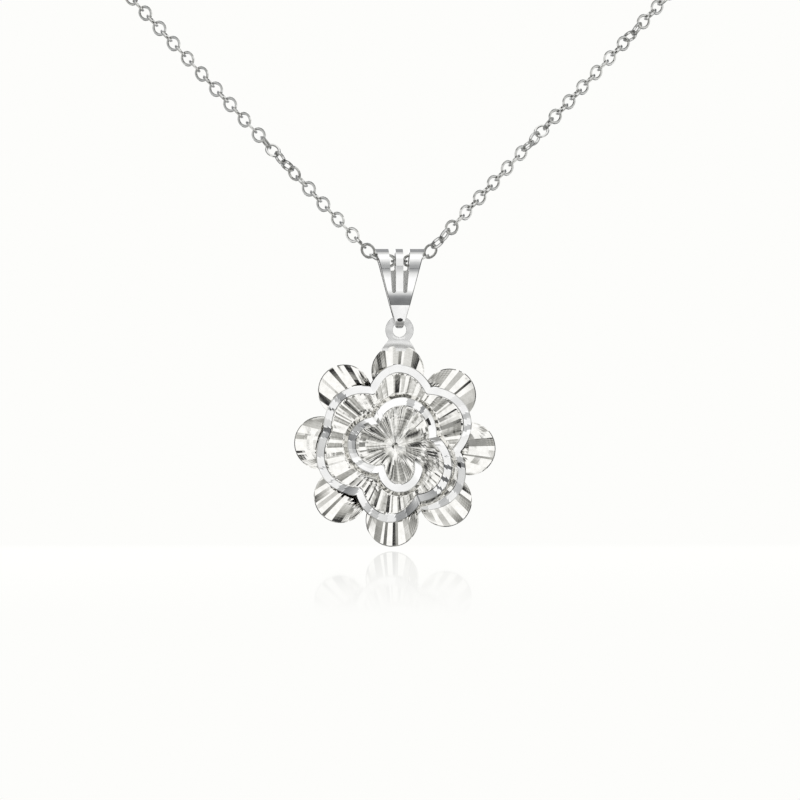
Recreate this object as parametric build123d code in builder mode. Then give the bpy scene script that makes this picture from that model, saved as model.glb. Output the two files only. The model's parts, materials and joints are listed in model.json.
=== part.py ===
from build123d import *
from math import asin, atan2, cos, degrees, exp, hypot, pi, radians, sin, sqrt, tan
import os

# Cable chain: the round envelope that its links fill
chain_width = 1.32
chain_bend_radius = 2.0

# Spring-ring clasp at the nape
clasp_ring_radius = 2.3
clasp_wire = 1.2
lug_ring_radius = 0.6
lug_wire = 0.42
chain_end_gap = 0.2

# Bail: a strip folded over the chain and tapering to its foot
bail_wall = 0.33
bail_top_width = 4.44
bail_drop = 5.07
bail_crease_drop = 3.78
bail_crease_width = 1.80
bail_crease_reach = 0.70
bail_crease_bend = 0.05
bail_knee_rise = 0.12
bail_knee_width = 1.12
tongue_fall = 0.28
tongue_width = 0.60
chain_play = 0.12

# Slots and the small oval hole in the bail's front
slot_length = 4.0
slot_inner = 0.34
slot_top_outer = 0.93
slot_bottom_outer = 0.64
slot_end_radius = 0.13
slot_back_reach = 0.62
oval_hole_width = 0.44
oval_hole_height = 0.26
oval_hole_rise = -0.06

# Eyelet: the flat ring on the top petal, with the bail's foot through it
eyelet_bar = 0.64
eyelet_thickness = 0.30
eyelet_neck_width = 1.30
eyelet_neck_reach = 1.15
eyelet_standoff = 0.06
foot_play = 0.125
tongue_play = 0.05

# Back petals
petal_count = 8
petal_radius = 2.40
petal_circle_radius = 6.70
petal_wall = 0.30
petal_level = -0.48
petal_cup = 0.60
petal_side_cup = 0.22
petal_facet = 0.07
petal_steps = 12
valley_depth = 0.70

# Rose: fluted floor and winding ribbon
rose_radius = 6.95
ribbon_width = 0.78
ribbon_least_width = 0.12
ribbon_lip = 0.08
rose_wall = 0.34
rose_cup = 2.10
rose_cup_spread = 3.0
turn_drop = 0.70
riser_run = 0.34
flute_depth = 0.09
columns_per_turn = 72
hub_radius = 0.50
seat_gap = 0.05

# Peg that holds the rose through the back plate
peg_radius = 0.34
peg_play = 0.06
peg_head_radius = 0.62
peg_head_height = 0.22

# How far the flower leans to the side, in degrees
flower_lean = 2.2

# Chosen points of the chain, from the clasp's left lug through the bail to its right lug
chain_route = [
    (-25.0, -4.0, -1.5),
    (-48.0, -23.0, -7.0),
    (-58.5, -54.0, -16.5),
    (-53.5, -89.0, -31.0),
    (-36.6, -119.0, -52.3),
    (-2.2, -142.0, -92.05),
    (2.2, -142.0, -92.05),
    (39.8, -119.0, -52.3),
    (57.0, -89.0, -31.0),
    (60.5, -54.0, -16.5),
    (48.5, -23.0, -7.0),
    (25.0, -4.0, -1.5),
]

# Ribbon centre line: degrees clockwise from its inner end, and radius as a share of rose_radius
ribbon_rows = [
    ("inner end", 0.0, 0.315),
    ("lobe", 51.5, 0.551),
    ("notch", 91.0, 0.356),
    ("lobe", 153.0, 0.573),
    ("notch", 201.0, 0.407),
    ("lobe", 261.0, 0.587),
    ("notch", 316.0, 0.486),
    ("lobe", 375.0, 0.786),
    ("notch", 395.6, 0.738),
    ("lobe", 426.0, 0.943),
    ("notch", 457.3, 0.758),
    ("lobe", 494.0, 0.988),
    ("notch", 521.0, 0.904),
    ("lobe", 544.0, 0.956),
    ("notch", 576.0, 0.773),
    ("lobe", 602.0, 0.997),
    ("notch", 630.0, 0.835),
    ("lobe", 662.0, 1.000),
    ("notch", 694.0, 0.790),
    ("lobe", 727.0, 0.982),
    ("outer end", 760.0, 0.803),
]
ribbon_start_angle = 331.0

# Radii of a back petal's rings, as shares of its outline's radius
petal_ring_shares = (0.30, 0.55, 0.74, 0.88, 1.0)

os.makedirs("parts", exist_ok=True)


def run_lengths(points):
    return [(b - a).length for a, b in zip(points[:-1], points[1:])]


def bend_radii(points):
    """Each corner's arc takes 0.45 of the shorter run beside it."""
    runs = run_lengths(points)
    radii = []
    for corner in range(1, len(points) - 1):
        before = points[corner] - points[corner - 1]
        after = points[corner + 1] - points[corner]
        shorter = min(runs[corner - 1], runs[corner])
        radii.append(0.45 * shorter / tan(radians(before.get_angle(after)) / 2))
    return radii


def edge_top(seat, outer):
    """Top of the bent chain over its flat stretch, where it leaves the bail's side edge."""
    turn = radians((outer - seat).get_angle(Vector(seat.X, 0, 0)))
    arc_start = abs(seat.X) - chain_bend_radius * tan(turn / 2)
    reach = min(max(bail_top_width / 2 - arc_start, 0.0), chain_bend_radius * sin(turn))
    rise = chain_bend_radius - sqrt(chain_bend_radius**2 - reach**2)
    return rise + chain_width / 2 / cos(asin(reach / chain_bend_radius))


# Chain, end to end, with its two tight corners at the bail's sides
lug_centre = clasp_ring_radius + clasp_wire / 2 + lug_ring_radius
chain_end = Vector(lug_centre + lug_ring_radius + lug_wire / 2 + chain_end_gap, 0, 0)
chain_points = [chain_end * -1] + [Vector(*point) for point in chain_route] + [chain_end]
chain_radii = bend_radii(chain_points)
left_seat = len(chain_points) // 2 - 1
right_seat = left_seat + 1
chain_radii[left_seat - 1] = chain_bend_radius
chain_radii[right_seat - 1] = chain_bend_radius

# Hinge line of the bail: the middle of the space that the bent chain fills in the fold
left_top = edge_top(chain_points[left_seat], chain_points[left_seat - 1])
right_top = edge_top(chain_points[right_seat], chain_points[right_seat + 1])
chain_top = max(left_top, right_top)
chain_bottom = -chain_width / 2
bail_bore_radius = (chain_top - chain_bottom) / 2 + chain_play
bail_seat = chain_points[right_seat]
strand = chain_points[right_seat + 1] - bail_seat
strand_rise = Vector(0, strand.Y, strand.Z).normalized()
bail_hinge = Vector(0, bail_seat.Y, bail_seat.Z) + strand_rise * (chain_top + chain_bottom) / 2

# Eyelet and foot: the eyelet's bar turns inside the foot's fold
bar_corner = hypot(eyelet_bar / 2, eyelet_thickness / 2)
bail_foot_radius = bar_corner + foot_play
tongue_drop = sqrt(bail_foot_radius**2 - (eyelet_thickness / 2) ** 2) - eyelet_bar / 2
eyelet_hole_radius = ((tongue_width / 2) ** 2 + tongue_drop**2 - tongue_play**2) / (
    2 * (tongue_drop - tongue_play)
)
eyelet_radius = eyelet_hole_radius + eyelet_bar
flower_hinge = bail_hinge - Vector(0, 0, bail_drop)
eyelet_centre = flower_hinge - Vector(0, 0, eyelet_bar / 2 + eyelet_hole_radius)

# Flower's own plane: x to the right, y towards the eyelet, z to the front
petal_tip = petal_circle_radius + petal_radius
flower_reach = petal_tip + eyelet_standoff + eyelet_radius
flower_up = Vector(sin(radians(flower_lean)), 0, cos(radians(flower_lean)))
flower_right = Vector(cos(radians(flower_lean)), 0, -sin(radians(flower_lean)))
flower_centre = eyelet_centre - flower_up * flower_reach
flower_plane = Plane(origin=flower_centre, x_dir=flower_right, z_dir=(0, -1, 0))


def flower_point(radius, angle, height):
    turn = radians(angle)
    across = flower_right * (radius * cos(turn))
    along = flower_up * (radius * sin(turn))
    return flower_centre + across + along + Vector(0, -height, 0)


def zip_columns(left, right):
    """Triangles between two columns of (key, point number), each in order of its keys."""
    triangles = []
    i = 0
    j = 0
    while i < len(left) - 1 or j < len(right) - 1:
        left_key = left[i + 1][0] if i < len(left) - 1 else float("inf")
        right_key = right[j + 1][0] if j < len(right) - 1 else float("inf")
        if left_key <= right_key:
            triangles.append((left[i][1], right[j][1], left[i + 1][1]))
            i += 1
        else:
            triangles.append((left[i][1], right[j][1], right[j + 1][1]))
            j += 1
    return triangles


def sheet_solid(places, triangles, wall):
    """A sheet: its front triangles, the same ones moved back by the wall, and its edges."""
    front = [flower_point(radius, angle, height) for radius, angle, height in places]
    back = [point + Vector(0, wall, 0) for point in front]
    edges = {(t[k], t[(k + 1) % 3]) for t in triangles for k in range(3)}
    corners = [(front[a], front[b], front[c]) for a, b, c in triangles]
    corners += [(back[c], back[b], back[a]) for a, b, c in triangles]
    for a, b in sorted(edges):
        if (b, a) not in edges:
            corners.append((front[b], front[a], back[a]))
            corners.append((front[b], back[a], back[b]))
    faces = [Face(Wire.make_polygon(triple, close=True)) for triple in corners]
    return Solid(Shell(faces))


def ribbon_radius(turn):
    """Lobes are round, notches are sharp: a quarter sine from each notch up to each lobe."""
    for (name_a, turn_a, share_a), (_, turn_b, share_b) in zip(ribbon_rows[:-1], ribbon_rows[1:]):
        if turn <= turn_b:
            part = (turn - turn_a) / (turn_b - turn_a)
            blend = 1 - cos(part * pi / 2) if name_a == "lobe" else sin(part * pi / 2)
            return rose_radius * (share_a + (share_b - share_a) * blend)
    return rose_radius * ribbon_rows[-1][2]


def rose_floor(radius, turn):
    """Height of the floor: a cup that drops with each turn outside the first ribbon."""
    inner = 0.35 * rose_radius
    outer = 0.60 * rose_radius
    part = min(max((radius - inner) / (outer - inner), 0.0), 1.0)
    settle = part * part * (3 - 2 * part)
    cup = rose_cup * (1 - exp(-radius / rose_cup_spread))
    return rose_level + cup - turn_drop * turn / 360 * settle


def rose_sheet():
    """Columns of the unrolled sheet, 5 degrees apart, each from its floor to its ribbon."""
    step = 360 / columns_per_turn
    count = int(round(ribbon_rows[-1][1] / step)) + 1
    places = [(0.0, 0.0, rose_level)]
    columns = []
    outer_edges = []
    for index in range(count):
        turn = index * step
        angle = ribbon_start_angle - turn
        middle = ribbon_radius(turn)
        half = ribbon_width / 2 * min(1.0, 0.4 + 0.3 * index)
        lip = ribbon_lip * min(1.0, index / 3)
        inner = hub_radius
        if index >= columns_per_turn:
            inner = outer_edges[index - columns_per_turn] + riser_run
        ribbon_in = max(middle - half, inner + ribbon_least_width)
        ribbon_out = max(middle + half, ribbon_in + ribbon_least_width)
        outer_edges.append(ribbon_out)
        mid = 0.45 * inner + 0.55 * ribbon_in
        flute = flute_depth * (0.5 if index % 2 else -0.5)
        top = rose_floor((ribbon_in + ribbon_out) / 2, turn) + lip
        start = len(places)
        inner_height = rose_floor(inner, turn) if index >= columns_per_turn else rose_level
        places.append((inner, angle, inner_height))
        places.append((mid, angle, rose_floor(mid, turn) + flute))
        places.append((ribbon_in, angle, top))
        places.append((ribbon_out, angle, top))
        columns.append([(0.0, start), (1.0, start + 1), (2.0, start + 2), (3.0, start + 3)])
    triangles = []
    for index in range(count - 1):
        left = columns[index]
        right = columns[index + 1]
        if index == columns_per_turn - 1:
            first = [(0.25 * key, number) for key, number in columns[0]]
            right = first + [(1.0 + 0.5 * key, number) for key, number in right[:2]] + right[2:]
        triangles += zip_columns(left, right)
        if index < columns_per_turn:
            following = columns[(index + 1) % columns_per_turn][0][1]
            triangles.append((0, following, left[0][1]))
        if index + 1 + columns_per_turn < count:
            foot = columns[index + columns_per_turn][0]
            next_foot = columns[index + 1 + columns_per_turn][0]
            triangles += zip_columns([left[3], (4.0, foot[1])], [right[-1], (4.0, next_foot[1])])
    return places, triangles


def petal_height(radius, offset):
    """Height of a back petal: flat inside, then curling forward to its tip and its sides."""
    start = petal_circle_radius - 0.75 * petal_radius
    reach = max(radius - start, 0.0) / (petal_tip - start)
    side = abs(offset) / (180 / petal_count)
    return petal_level + petal_cup * reach**1.6 + petal_side_cup * side**2 * min(1.0, 2 * reach)


def petal_sheet():
    """Columns from the peg's hole to the outline, following each petal's round edge."""
    places = []
    columns = []
    tangent = 90 + degrees(asin(petal_radius / petal_circle_radius))
    valley = petal_circle_radius * cos(radians(180 / petal_count)) - valley_depth
    for petal in range(petal_count):
        axis = 90 - petal * 360 / petal_count
        outline = []
        for index in range(petal_steps + 1):
            around = radians(tangent - 2 * tangent * index / petal_steps)
            x = petal_circle_radius + petal_radius * cos(around)
            y = petal_radius * sin(around)
            outline.append((hypot(x, y), degrees(atan2(y, x))))
        outline.append((valley, -180 / petal_count))
        for index, (radius, offset) in enumerate(outline):
            facet = petal_facet * (0.5 if index % 2 else -0.5)
            start = len(places)
            places.append((peg_radius + peg_play, axis + offset, petal_level))
            for share in petal_ring_shares:
                relief = facet if 0.5 < share < 1 else 0.0
                height = petal_height(radius * share, offset) + relief
                places.append((radius * share, axis + offset, height))
            columns.append([(key, start + key) for key in range(len(petal_ring_shares) + 1)])
    triangles = []
    for left, right in zip(columns, columns[1:] + columns[:1]):
        triangles += zip_columns(left, right)
    return places, triangles


# Levels of the rose: its hub lies on the back plate
rose_level = petal_level + seat_gap + rose_wall

# Chain
with BuildPart() as chain:
    with BuildLine() as chain_line:
        FilletPolyline(*chain_points, radius=chain_radii)
    with BuildSketch(Plane(origin=chain_line.line @ 0, z_dir=chain_line.line % 0)):
        Circle(chain_width / 2)
    sweep()

# Clasp
with BuildPart() as clasp:
    Torus(clasp_ring_radius, clasp_wire / 2, rotation=(90, 0, 0))
    with Locations((-lug_centre, 0, 0), (lug_centre, 0, 0)):
        Torus(lug_ring_radius, lug_wire / 2, rotation=(90, 0, 0))

# Bail
bail_side = Plane(origin=bail_hinge, x_dir=(0, 1, 0), z_dir=(1, 0, 0))
bail_front = Plane(origin=bail_hinge, x_dir=(1, 0, 0), z_dir=(0, -1, 0))
bail_top = bail_bore_radius + bail_wall
bail_bottom = -bail_drop - bail_foot_radius - bail_wall
bail_cut_depth = 2 * bail_top


def fold_outline(wall):
    Circle(bail_bore_radius + wall)
    with Locations((0, -bail_drop)):
        Circle(bail_foot_radius + wall)
    with Locations((bail_crease_bend - bail_crease_reach, -bail_crease_drop)):
        Circle(bail_crease_bend + wall)
    make_hull()


with BuildPart() as bail:
    with BuildSketch(bail_side):
        fold_outline(bail_wall)
    extrude(amount=bail_top_width / 2, both=True)
    with BuildSketch(bail_side):
        fold_outline(0)
    extrude(amount=bail_top_width, both=True, mode=Mode.SUBTRACT)
    with BuildSketch(bail_front):
        with BuildLine():
            half_front = [
                (bail_top_width / 2, bail_top),
                (bail_crease_width / 2, -bail_crease_drop),
                (bail_knee_width / 2, bail_knee_rise - bail_drop),
                (tongue_width / 2, -bail_drop - tongue_fall),
                (tongue_width / 2, bail_bottom),
            ]
            Polyline(*half_front, *[(-x, y) for x, y in reversed(half_front)], close=True)
        make_face()
    extrude(amount=bail_cut_depth, both=True, mode=Mode.INTERSECT)
    with BuildSketch(bail_front.offset(-slot_back_reach)):
        for side in (-1, 1):
            slot_corners = [
                (side * slot_inner, bail_top),
                (side * slot_top_outer, bail_top),
                (side * slot_bottom_outer, bail_top - slot_length),
                (side * slot_inner, bail_top - slot_length),
            ]
            with BuildLine():
                Polyline(*slot_corners, close=True)
            make_face()
        fillet(vertices().group_by(Axis.Y)[0], radius=slot_end_radius)
    extrude(amount=bail_cut_depth, mode=Mode.SUBTRACT)
    with BuildSketch(bail_front):
        with Locations((0, oval_hole_rise - bail_drop)):
            Ellipse(oval_hole_width / 2, oval_hole_height / 2)
    extrude(amount=bail_cut_depth, mode=Mode.SUBTRACT)

# Back petals, with the eyelet on the top one
petal_relief = sheet_solid(*petal_sheet(), petal_wall)
with BuildPart() as back_petals:
    add(petal_relief)
    with BuildSketch(flower_plane.offset(-eyelet_thickness / 2)):
        with Locations((0, flower_reach)):
            Circle(eyelet_radius)
        with Locations((0, petal_tip - eyelet_neck_reach / 2 + eyelet_neck_width / 4)):
            Rectangle(eyelet_neck_width, eyelet_neck_reach + eyelet_neck_width / 2)
        with Locations((0, flower_reach)):
            Circle(eyelet_hole_radius, mode=Mode.SUBTRACT)
    extrude(amount=eyelet_thickness)

# Rose, with its peg
rose_relief = sheet_solid(*rose_sheet(), rose_wall)
with BuildPart() as rose:
    add(rose_relief)
    with BuildSketch(flower_plane.offset(rose_level - rose_wall / 2)):
        Circle(peg_radius)
    extrude(amount=-(rose_wall / 2 + 2 * seat_gap + petal_wall + peg_head_height / 2))
    with BuildSketch(flower_plane.offset(petal_level - petal_wall - seat_gap)):
        Circle(peg_head_radius)
    extrude(amount=-peg_head_height)

chain.part.label = "chain"
clasp.part.label = "clasp"
bail.part.label = "bail"
back_petals.part.label = "back_petals"
rose.part.label = "rose"

export_step(chain.part, "parts/chain.step")
export_step(clasp.part, "parts/clasp.step")
export_step(bail.part, "parts/bail.step")
export_step(back_petals.part, "parts/back_petals.step")
export_step(rose.part, "parts/rose.step")

# Sizes worth knowing
chain_length = chain_line.wire().length
chain_section = pi * (chain_width / 2) ** 2
print("chain radii", [round(radius, 1) for radius in chain_radii])
print("chain runs", [round(length, 1) for length in run_lengths(chain_points)])
print("loop length", round(chain_length + 2 * chain_end.X, 1))
print("chain volume", round(chain.part.volume, 2), "of", round(chain_length * chain_section, 2))
print("bail hinge", bail_hinge, "bore radius", round(bail_bore_radius, 3))
print("flower hinge", flower_hinge, "foot radius", round(bail_foot_radius, 3))
print("eyelet hole radius", round(eyelet_hole_radius, 3), "flower centre", flower_centre)
flower_volume = back_petals.part.volume + rose.part.volume
for name, piece in (("back_petals", back_petals), ("rose", rose), ("bail", bail), ("clasp", clasp)):
    print(name, round(piece.part.volume, 3), piece.part.center(CenterOf.MASS))
balance = back_petals.part.center(CenterOf.MASS) * back_petals.part.volume
balance += rose.part.center(CenterOf.MASS) * rose.part.volume
print("flower balance, forward of its hinge", flower_hinge.Y - balance.Y / flower_volume)
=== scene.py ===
import json

import bpy
import numpy as np
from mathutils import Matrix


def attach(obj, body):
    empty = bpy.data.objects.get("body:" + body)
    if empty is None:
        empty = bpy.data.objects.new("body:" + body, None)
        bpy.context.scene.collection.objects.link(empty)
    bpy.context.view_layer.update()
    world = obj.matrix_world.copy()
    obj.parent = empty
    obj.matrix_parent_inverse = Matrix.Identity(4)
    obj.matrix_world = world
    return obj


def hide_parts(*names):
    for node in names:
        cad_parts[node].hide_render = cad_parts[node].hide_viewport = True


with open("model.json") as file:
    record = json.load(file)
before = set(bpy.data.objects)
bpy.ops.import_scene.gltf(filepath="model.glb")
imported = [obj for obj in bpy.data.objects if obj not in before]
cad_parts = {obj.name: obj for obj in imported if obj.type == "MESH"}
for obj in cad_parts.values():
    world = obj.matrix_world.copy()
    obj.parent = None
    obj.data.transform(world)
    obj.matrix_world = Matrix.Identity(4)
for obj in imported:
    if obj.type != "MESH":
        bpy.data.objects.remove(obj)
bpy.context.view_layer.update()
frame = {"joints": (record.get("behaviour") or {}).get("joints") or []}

# Lengths here are in mm, and become metres where a mesh, a finish or the camera is made
MM = 0.001

# Chain: round wire bent into links that hang in one another. Each link leans out of its quarter turn, by
# face_lean degrees where it is seen face on and edge_lean where it is seen edge on, and wobbles a little
link_pitch = 1.033
link_wire = 0.26
link_width = 1.34
link_steps = 16
wire_steps = 6
face_lean = 20.0
edge_lean = 8.0
wobble_lean = 4.0
wobble_step = 2.4
# Where its line ends in the clasp's lugs, and how far from the bail the links begin to spread
lug_reach = 4.37
stretch_start = 75.0

# Route of the chain from lug to lug, with given points on the straight strands by the bail
chain_route = [
    (-5.01, 0, 0), (-25, -4, -1.5), (-48, -23, -7), (-58.5, -54, -16.5), (-53.5, -89, -31),
    (-36.6, -119, -52.3), (-28.25, -124.75, -62.24), (-4.75, -140.9, -88.8), (-3.3, -141.7, -90.20),
    (-2.1, -141.9, -91.62), (0, -141.9, -91.72), (2.1, -141.9, -91.62), (3.3, -141.7, -90.20),
    (4.6, -141, -88.85), (30.4, -124.75, -62.24), (39.8, -119, -52.3), (57, -89, -31),
    (60.5, -54, -16.5), (48.5, -23, -7), (25, -4, -1.5), (5.01, 0, 0),
]

# How the chain is twisted: distance along it from the bail, and its turn in degrees
twist_rows = [
    ("left back", -220, -188),
    ("left side", -90, 330),
    ("left top", -46, 240),
    ("left upper", -36, 180),
    ("left turned", -19.2, 180),
    ("left face on", -12, 90),
    ("bail left", -3.9, 90),
    ("bail right", 3.4, 90),
    ("right turned", 6.6, 180),
    ("right middle", 16.9, 180),
    ("right face on", 22, 270),
    ("right upper", 32.2, 270),
    ("right top", 35.3, 360),
    ("right side", 60, 400),
    ("right back", 110, 130),
    ("right nape", 220, 622),
]

# Bail: a strip folded over the chain
bail_bore = 0.974
bail_wall = 0.33
bail_drop = 5.07
crease_drop = 3.78
crease_reach = 0.70
crease_bend = 0.05
foot_bore = 0.478
slot_length = 4.0
slot_inner = 0.33
slot_top_outer = 0.97
slot_bottom_outer = 0.68
slot_shift = -0.06
slot_round = 0.15
slot_back_drop = 0.72
bail_edge = 0.07
bail_edge_fall = 0.4
seam_angle = 2.1
hole_width = 0.54
hole_height = 0.31
hole_rise = -0.04
# Lines across the strip: cells between each two, how far below a slot its lines spread to a share of the half
# width, and the shares that they and the bevel stay within
strip_cells = (4, 1, 3, 1, 3, 1, 4)
slot_spread = 0.8
spread_share = 0.55
slot_limits = (0.98, 0.99)
bevel_limit = 0.1
# Shade is painted, as a dark grey silver, on the inside below this drop, and on the hole's rim within this
# share of the hole's width
painted_shade_drop = 4.3
painted_shade_rim_share = 0.6

# How the bail's front plate leans: distance down from the hinge, its tilt up from the front in degrees, and
# the tilt of the tongue between the slots where that is another
front_lean = [
    ("bend", -0.42, 6.0, 4.4),
    ("grey band", -0.34, 4.3, 3.9),
    ("grey band", -0.03, 2.85, 3.75),
    ("dark band", 0.20, 2.25, 3.65),
    ("ridge of the tongue", 0.27, 2.15, 3.6),
    ("ridge of the tongue", 0.28, 2.15, -3.6),
    ("edge of the band", 0.50, 2.05, -3.6),
    ("edge of the band", 0.51, -2.7, -3.65),
    ("pale plate", 0.72, -3.2, -4.0),
    ("pale plate", 0.99, -4.5, -4.9),
    ("white plate", 1.26, -5.2),
    ("white plate", 2.40, -5.2),
    ("end of the slots", 2.68, -4.2),
    ("fade", 2.97, -2.75),
    ("dark foot", 3.24, -2.15),
    ("dark foot", 3.50, -1.9),
    ("crease", 3.78, -1.9),
]
tongue_end = 2.40
# The front plate's points, and where it takes up its small error at the crease
plate_steps = 110
take_up_start = 1.2
take_up_run = 1.4

# The bail's outline from the front: distance down from the hinge, and its width
bail_rows = [
    ("top edge", -1.304, 4.44),
    ("crease", 3.78, 1.80),
    ("beside the oval hole", 4.95, 1.12),
    ("hinge in the eyelet", 5.31, 0.92),
    ("hinge in the eyelet", 5.42, 0.76),
    ("foot", 5.67, 0.70),
    ("foot", 5.80, 0.58),
    ("tip", 5.878, 0.36),
]

# Clasp
clasp_ring_radius = 2.3
clasp_wire = 1.2
lug_ring_radius = 0.6
lug_wire = 0.42

# Eyelet and its neck, which sinks into the top petal
eyelet_hole = 0.626
eyelet_bar = 0.64
eyelet_thickness = 0.30
eyelet_bevel = 0.035
eyelet_standoff = 0.06
eyelet_columns = 160
eyelet_rows = [0, 0.04, 0.2, 0.4, 0.6, 0.75, 0.87, 0.96, 1.0]
neck_reach = 0.58
neck_half = 1.60
neck_fillet_end = 0.80
neck_fillet_power = 1.3
neck_sink_start = 0.35
neck_sink_run = 0.75
neck_lift = 0.01
# Shade is painted, as a dark grey silver, on the eyelet inside the bail's foot: half that width, and a margin
# below the bar
painted_shade_half = 0.27
painted_shade_margin = 0.02

# Back petals: rows are shares of the way out, and the cuts fade in between two such shares
petal_count = 8
petal_radius = 2.40
petal_rim = 0.08
petal_rim_drop = 0.026
petal_inset = 0.004
petal_circle = 6.70
petal_wall = 0.30
petal_level = -0.48
petal_rise_start = petal_circle - 0.75 * petal_radius
petal_shelf = 0.36
petal_shelf_reach = 6.6
petal_curl = 0.12
petal_curl_start = 7.4
petal_side_cup = 0.22
petal_column_step = 8
petal_rows = np.array([0, 0.30, 0.50, 0.58, 0.64, 0.69, 0.73, 0.77, 0.81, 0.85, 0.88, 0.91, 0.94, 0.97, 1.0])
petal_fade = (0.3, 0.55)
valley_depth = 0.70

# Rose: a cupped floor and a ribbon whose shares are places across it in halves of its width
rose_radius = 6.95
ribbon_width = 0.78
ribbon_lip = 0.02
ribbon_shares = [0.08, 0.24, 1.0, 1.82, 2.0]
ribbon_bevel = 20.0
rose_wall = 0.34
rose_cup = 2.10
rose_cup_spread = 3.0
turn_drop = 0.70
turn_drop_start = 0.35
turn_drop_run = 0.25
riser_run = 0.34
hub_radius = 0.30
pit_depth = 0.11
pit_aside = 0.08
pit_angle = 2.4
columns_per_turn = 240
floor_rows = 13
mitre_limit = 1.35
least_width = 0.12
# Half the columns over which the flutes' heights are levelled, and how the flutes fade in and out
level_window = 12
flute_fade = ((0, 0.08, 0.94, 1), (0.6, 1, 1, 0.5))
# Degrees over which the ribbon widens, narrows at its outer end and gets its lip, and the squares of its end
# widths as shares of the full one
widening, narrowing, lip_turn = 9, 6, 8
inner_share, outer_share = 0.02, 0.05

# Peg through both stampings, peened behind
seat_gap = 0.05
peg_hole = 0.40
peg_radius = 0.34
peg_head_radii = (0.62, 0.62, 0.50, 0.20)
peg_head_depths = (0, 0.10, 0.19, 0.22)
peg_stub = 0.15
peg_steps = 40

# The flower leans to its right, and so does its eyelet's line to the bail
flower_lean = np.radians(2.2)

# Ribbon centre line: degrees clockwise from its inner end, and radius as a share of rose_radius. Lobes and
# notches follow by turns between the inner and the outer end
ribbon_rows = [
    (0, 0.315), (51.5, 0.551), (91, 0.356), (153, 0.573), (201, 0.407), (261, 0.587), (316, 0.486),
    (375, 0.786), (395.6, 0.738), (426, 0.943), (457.3, 0.758), (494, 0.988), (521, 0.904),
    (544, 0.956), (576, 0.773), (602, 0.997), (630, 0.835), (662, 1.000), (694, 0.790),
    (727, 0.982), (760, 0.803),
]
ribbon_start_angle = 331.0

hinges = {joint["name"]: np.array(joint["pos_m"]) / MM for joint in frame["joints"]}
bail_hinge = hinges["bail_swing"]
flower_hinge = hinges["flower_swing"]
eyelet_centre = flower_hinge - np.array([0, 0, eyelet_bar / 2 + eyelet_hole])
petal_tip = petal_circle + petal_radius
flower_reach = petal_tip + eyelet_standoff + eyelet_hole + eyelet_bar
flower_up = np.array([np.sin(flower_lean), 0, np.cos(flower_lean)])
flower_right = np.array([np.cos(flower_lean), 0, -np.sin(flower_lean)])
flower_centre = eyelet_centre - flower_up * flower_reach
rose_level = petal_level + seat_gap + rose_wall


def linear(colour):
    """An sRGB hex colour as linear light."""
    srgb = np.array([int(colour[k : k + 2], 16) / 255 for k in (1, 3, 5)])
    light = np.where(srgb <= 0.04045, srgb / 12.92, ((srgb + 0.055) / 1.055) ** 2.4)
    return (*light.tolist(), 1.0)


def add(tree, kind, settings=(), inputs=()):
    """One shader node, with its settings and its sockets' values or links."""
    node = tree.nodes.new("ShaderNode" + kind)
    for name, value in dict(settings).items():
        setattr(node, name, value)
    for socket, value in dict(inputs).items():
        if isinstance(value, bpy.types.NodeSocket):
            tree.links.new(value, node.inputs[socket])
        else:
            node.inputs[socket].default_value = value
    return node


def columns(rows):
    """A table's columns of numbers, without its labels; a row one number short repeats its last one."""
    rows = [[value for value in row if not isinstance(value, str)] for row in rows]
    width = max(map(len, rows))
    return np.array([row + row[-1:] * (width - len(row)) for row in rows], float).T


def worked(tree, operation, *values):
    """A sum on values or links."""
    return add(tree, "Math", {"operation": operation}, enumerate(values)).outputs[0]


def mapped(tree, value, before, after=(0.0, 1.0)):
    """A value moved from one range to another, and kept inside it."""
    names = ("Value", "From Min", "From Max", "To Min", "To Max")
    return add(tree, "MapRange", inputs=zip(names, (value, *before, *after))).outputs["Result"]


def ramp(tree, share, stops):
    """A colour for a share, from stops of place and sRGB hex colour."""
    node = add(tree, "ValToRGB", inputs={"Fac": share})
    elements = node.color_ramp.elements
    for number, (place, colour) in enumerate(stops):
        element = elements[number] if number < 2 else elements.new(place)
        element.position = place
        element.color = linear(colour)
    return node.outputs["Color"]


def noise(tree, place, scale, detail):
    """Soft noise of a scale."""
    inputs = {"Vector": place, "Scale": scale, "Detail": detail}
    return add(tree, "TexNoise", inputs=inputs).outputs["Fac"]


def mixed(tree, share, first, second, way="MIX"):
    """Two colours mixed by a share."""
    settings = {"data_type": "RGBA", "blend_type": way}
    return add(tree, "Mix", settings, {0: share, 6: first, 7: second}).outputs[2]


def empty_tree(owner):
    """The node tree of a material or a world, with nothing in it."""
    owner.use_nodes = True
    owner.node_tree.nodes.clear()
    return owner.node_tree


def placed(name, data):
    """A new object in the scene."""
    made = bpy.data.objects.new(name, data)
    bpy.context.scene.collection.objects.link(made)
    return made


def silver(name, colour, warm, rough, rough_spread, grain_mm, scratch_mm, bump):
    """Rhodium-plated silver: a bright metal whose polish varies in soft patches and fine lines."""
    material = bpy.data.materials.new(name)
    tree = empty_tree(material)
    place = add(tree, "TexCoord").outputs["Object"]
    grain = noise(tree, place, 1 / (grain_mm * MM), 3.0)
    lines = {"Vector": place, "Rotation": (0.3, 0.5, 0.7), "Scale": (1, 1, 6)}
    lines = add(tree, "Mapping", inputs=lines).outputs[0]
    scratches = noise(tree, lines, 1 / (scratch_mm * MM), 2.0)
    relief = {"Height": scratches, "Strength": bump, "Distance": 0.02 * MM}
    inputs = {
        "Base Color": ramp(tree, grain, ((0.35, warm), (0.65, colour))),
        "Metallic": 1.0,
        "Roughness": mapped(tree, grain, (0.3, 0.7), (rough, rough + rough_spread)),
        "Normal": add(tree, "Bump", inputs=relief).outputs["Normal"],
    }
    shader = add(tree, "BsdfPrincipled", inputs=inputs)
    add(tree, "OutputMaterial", inputs={"Surface": shader.outputs[0]})
    return material


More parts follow.
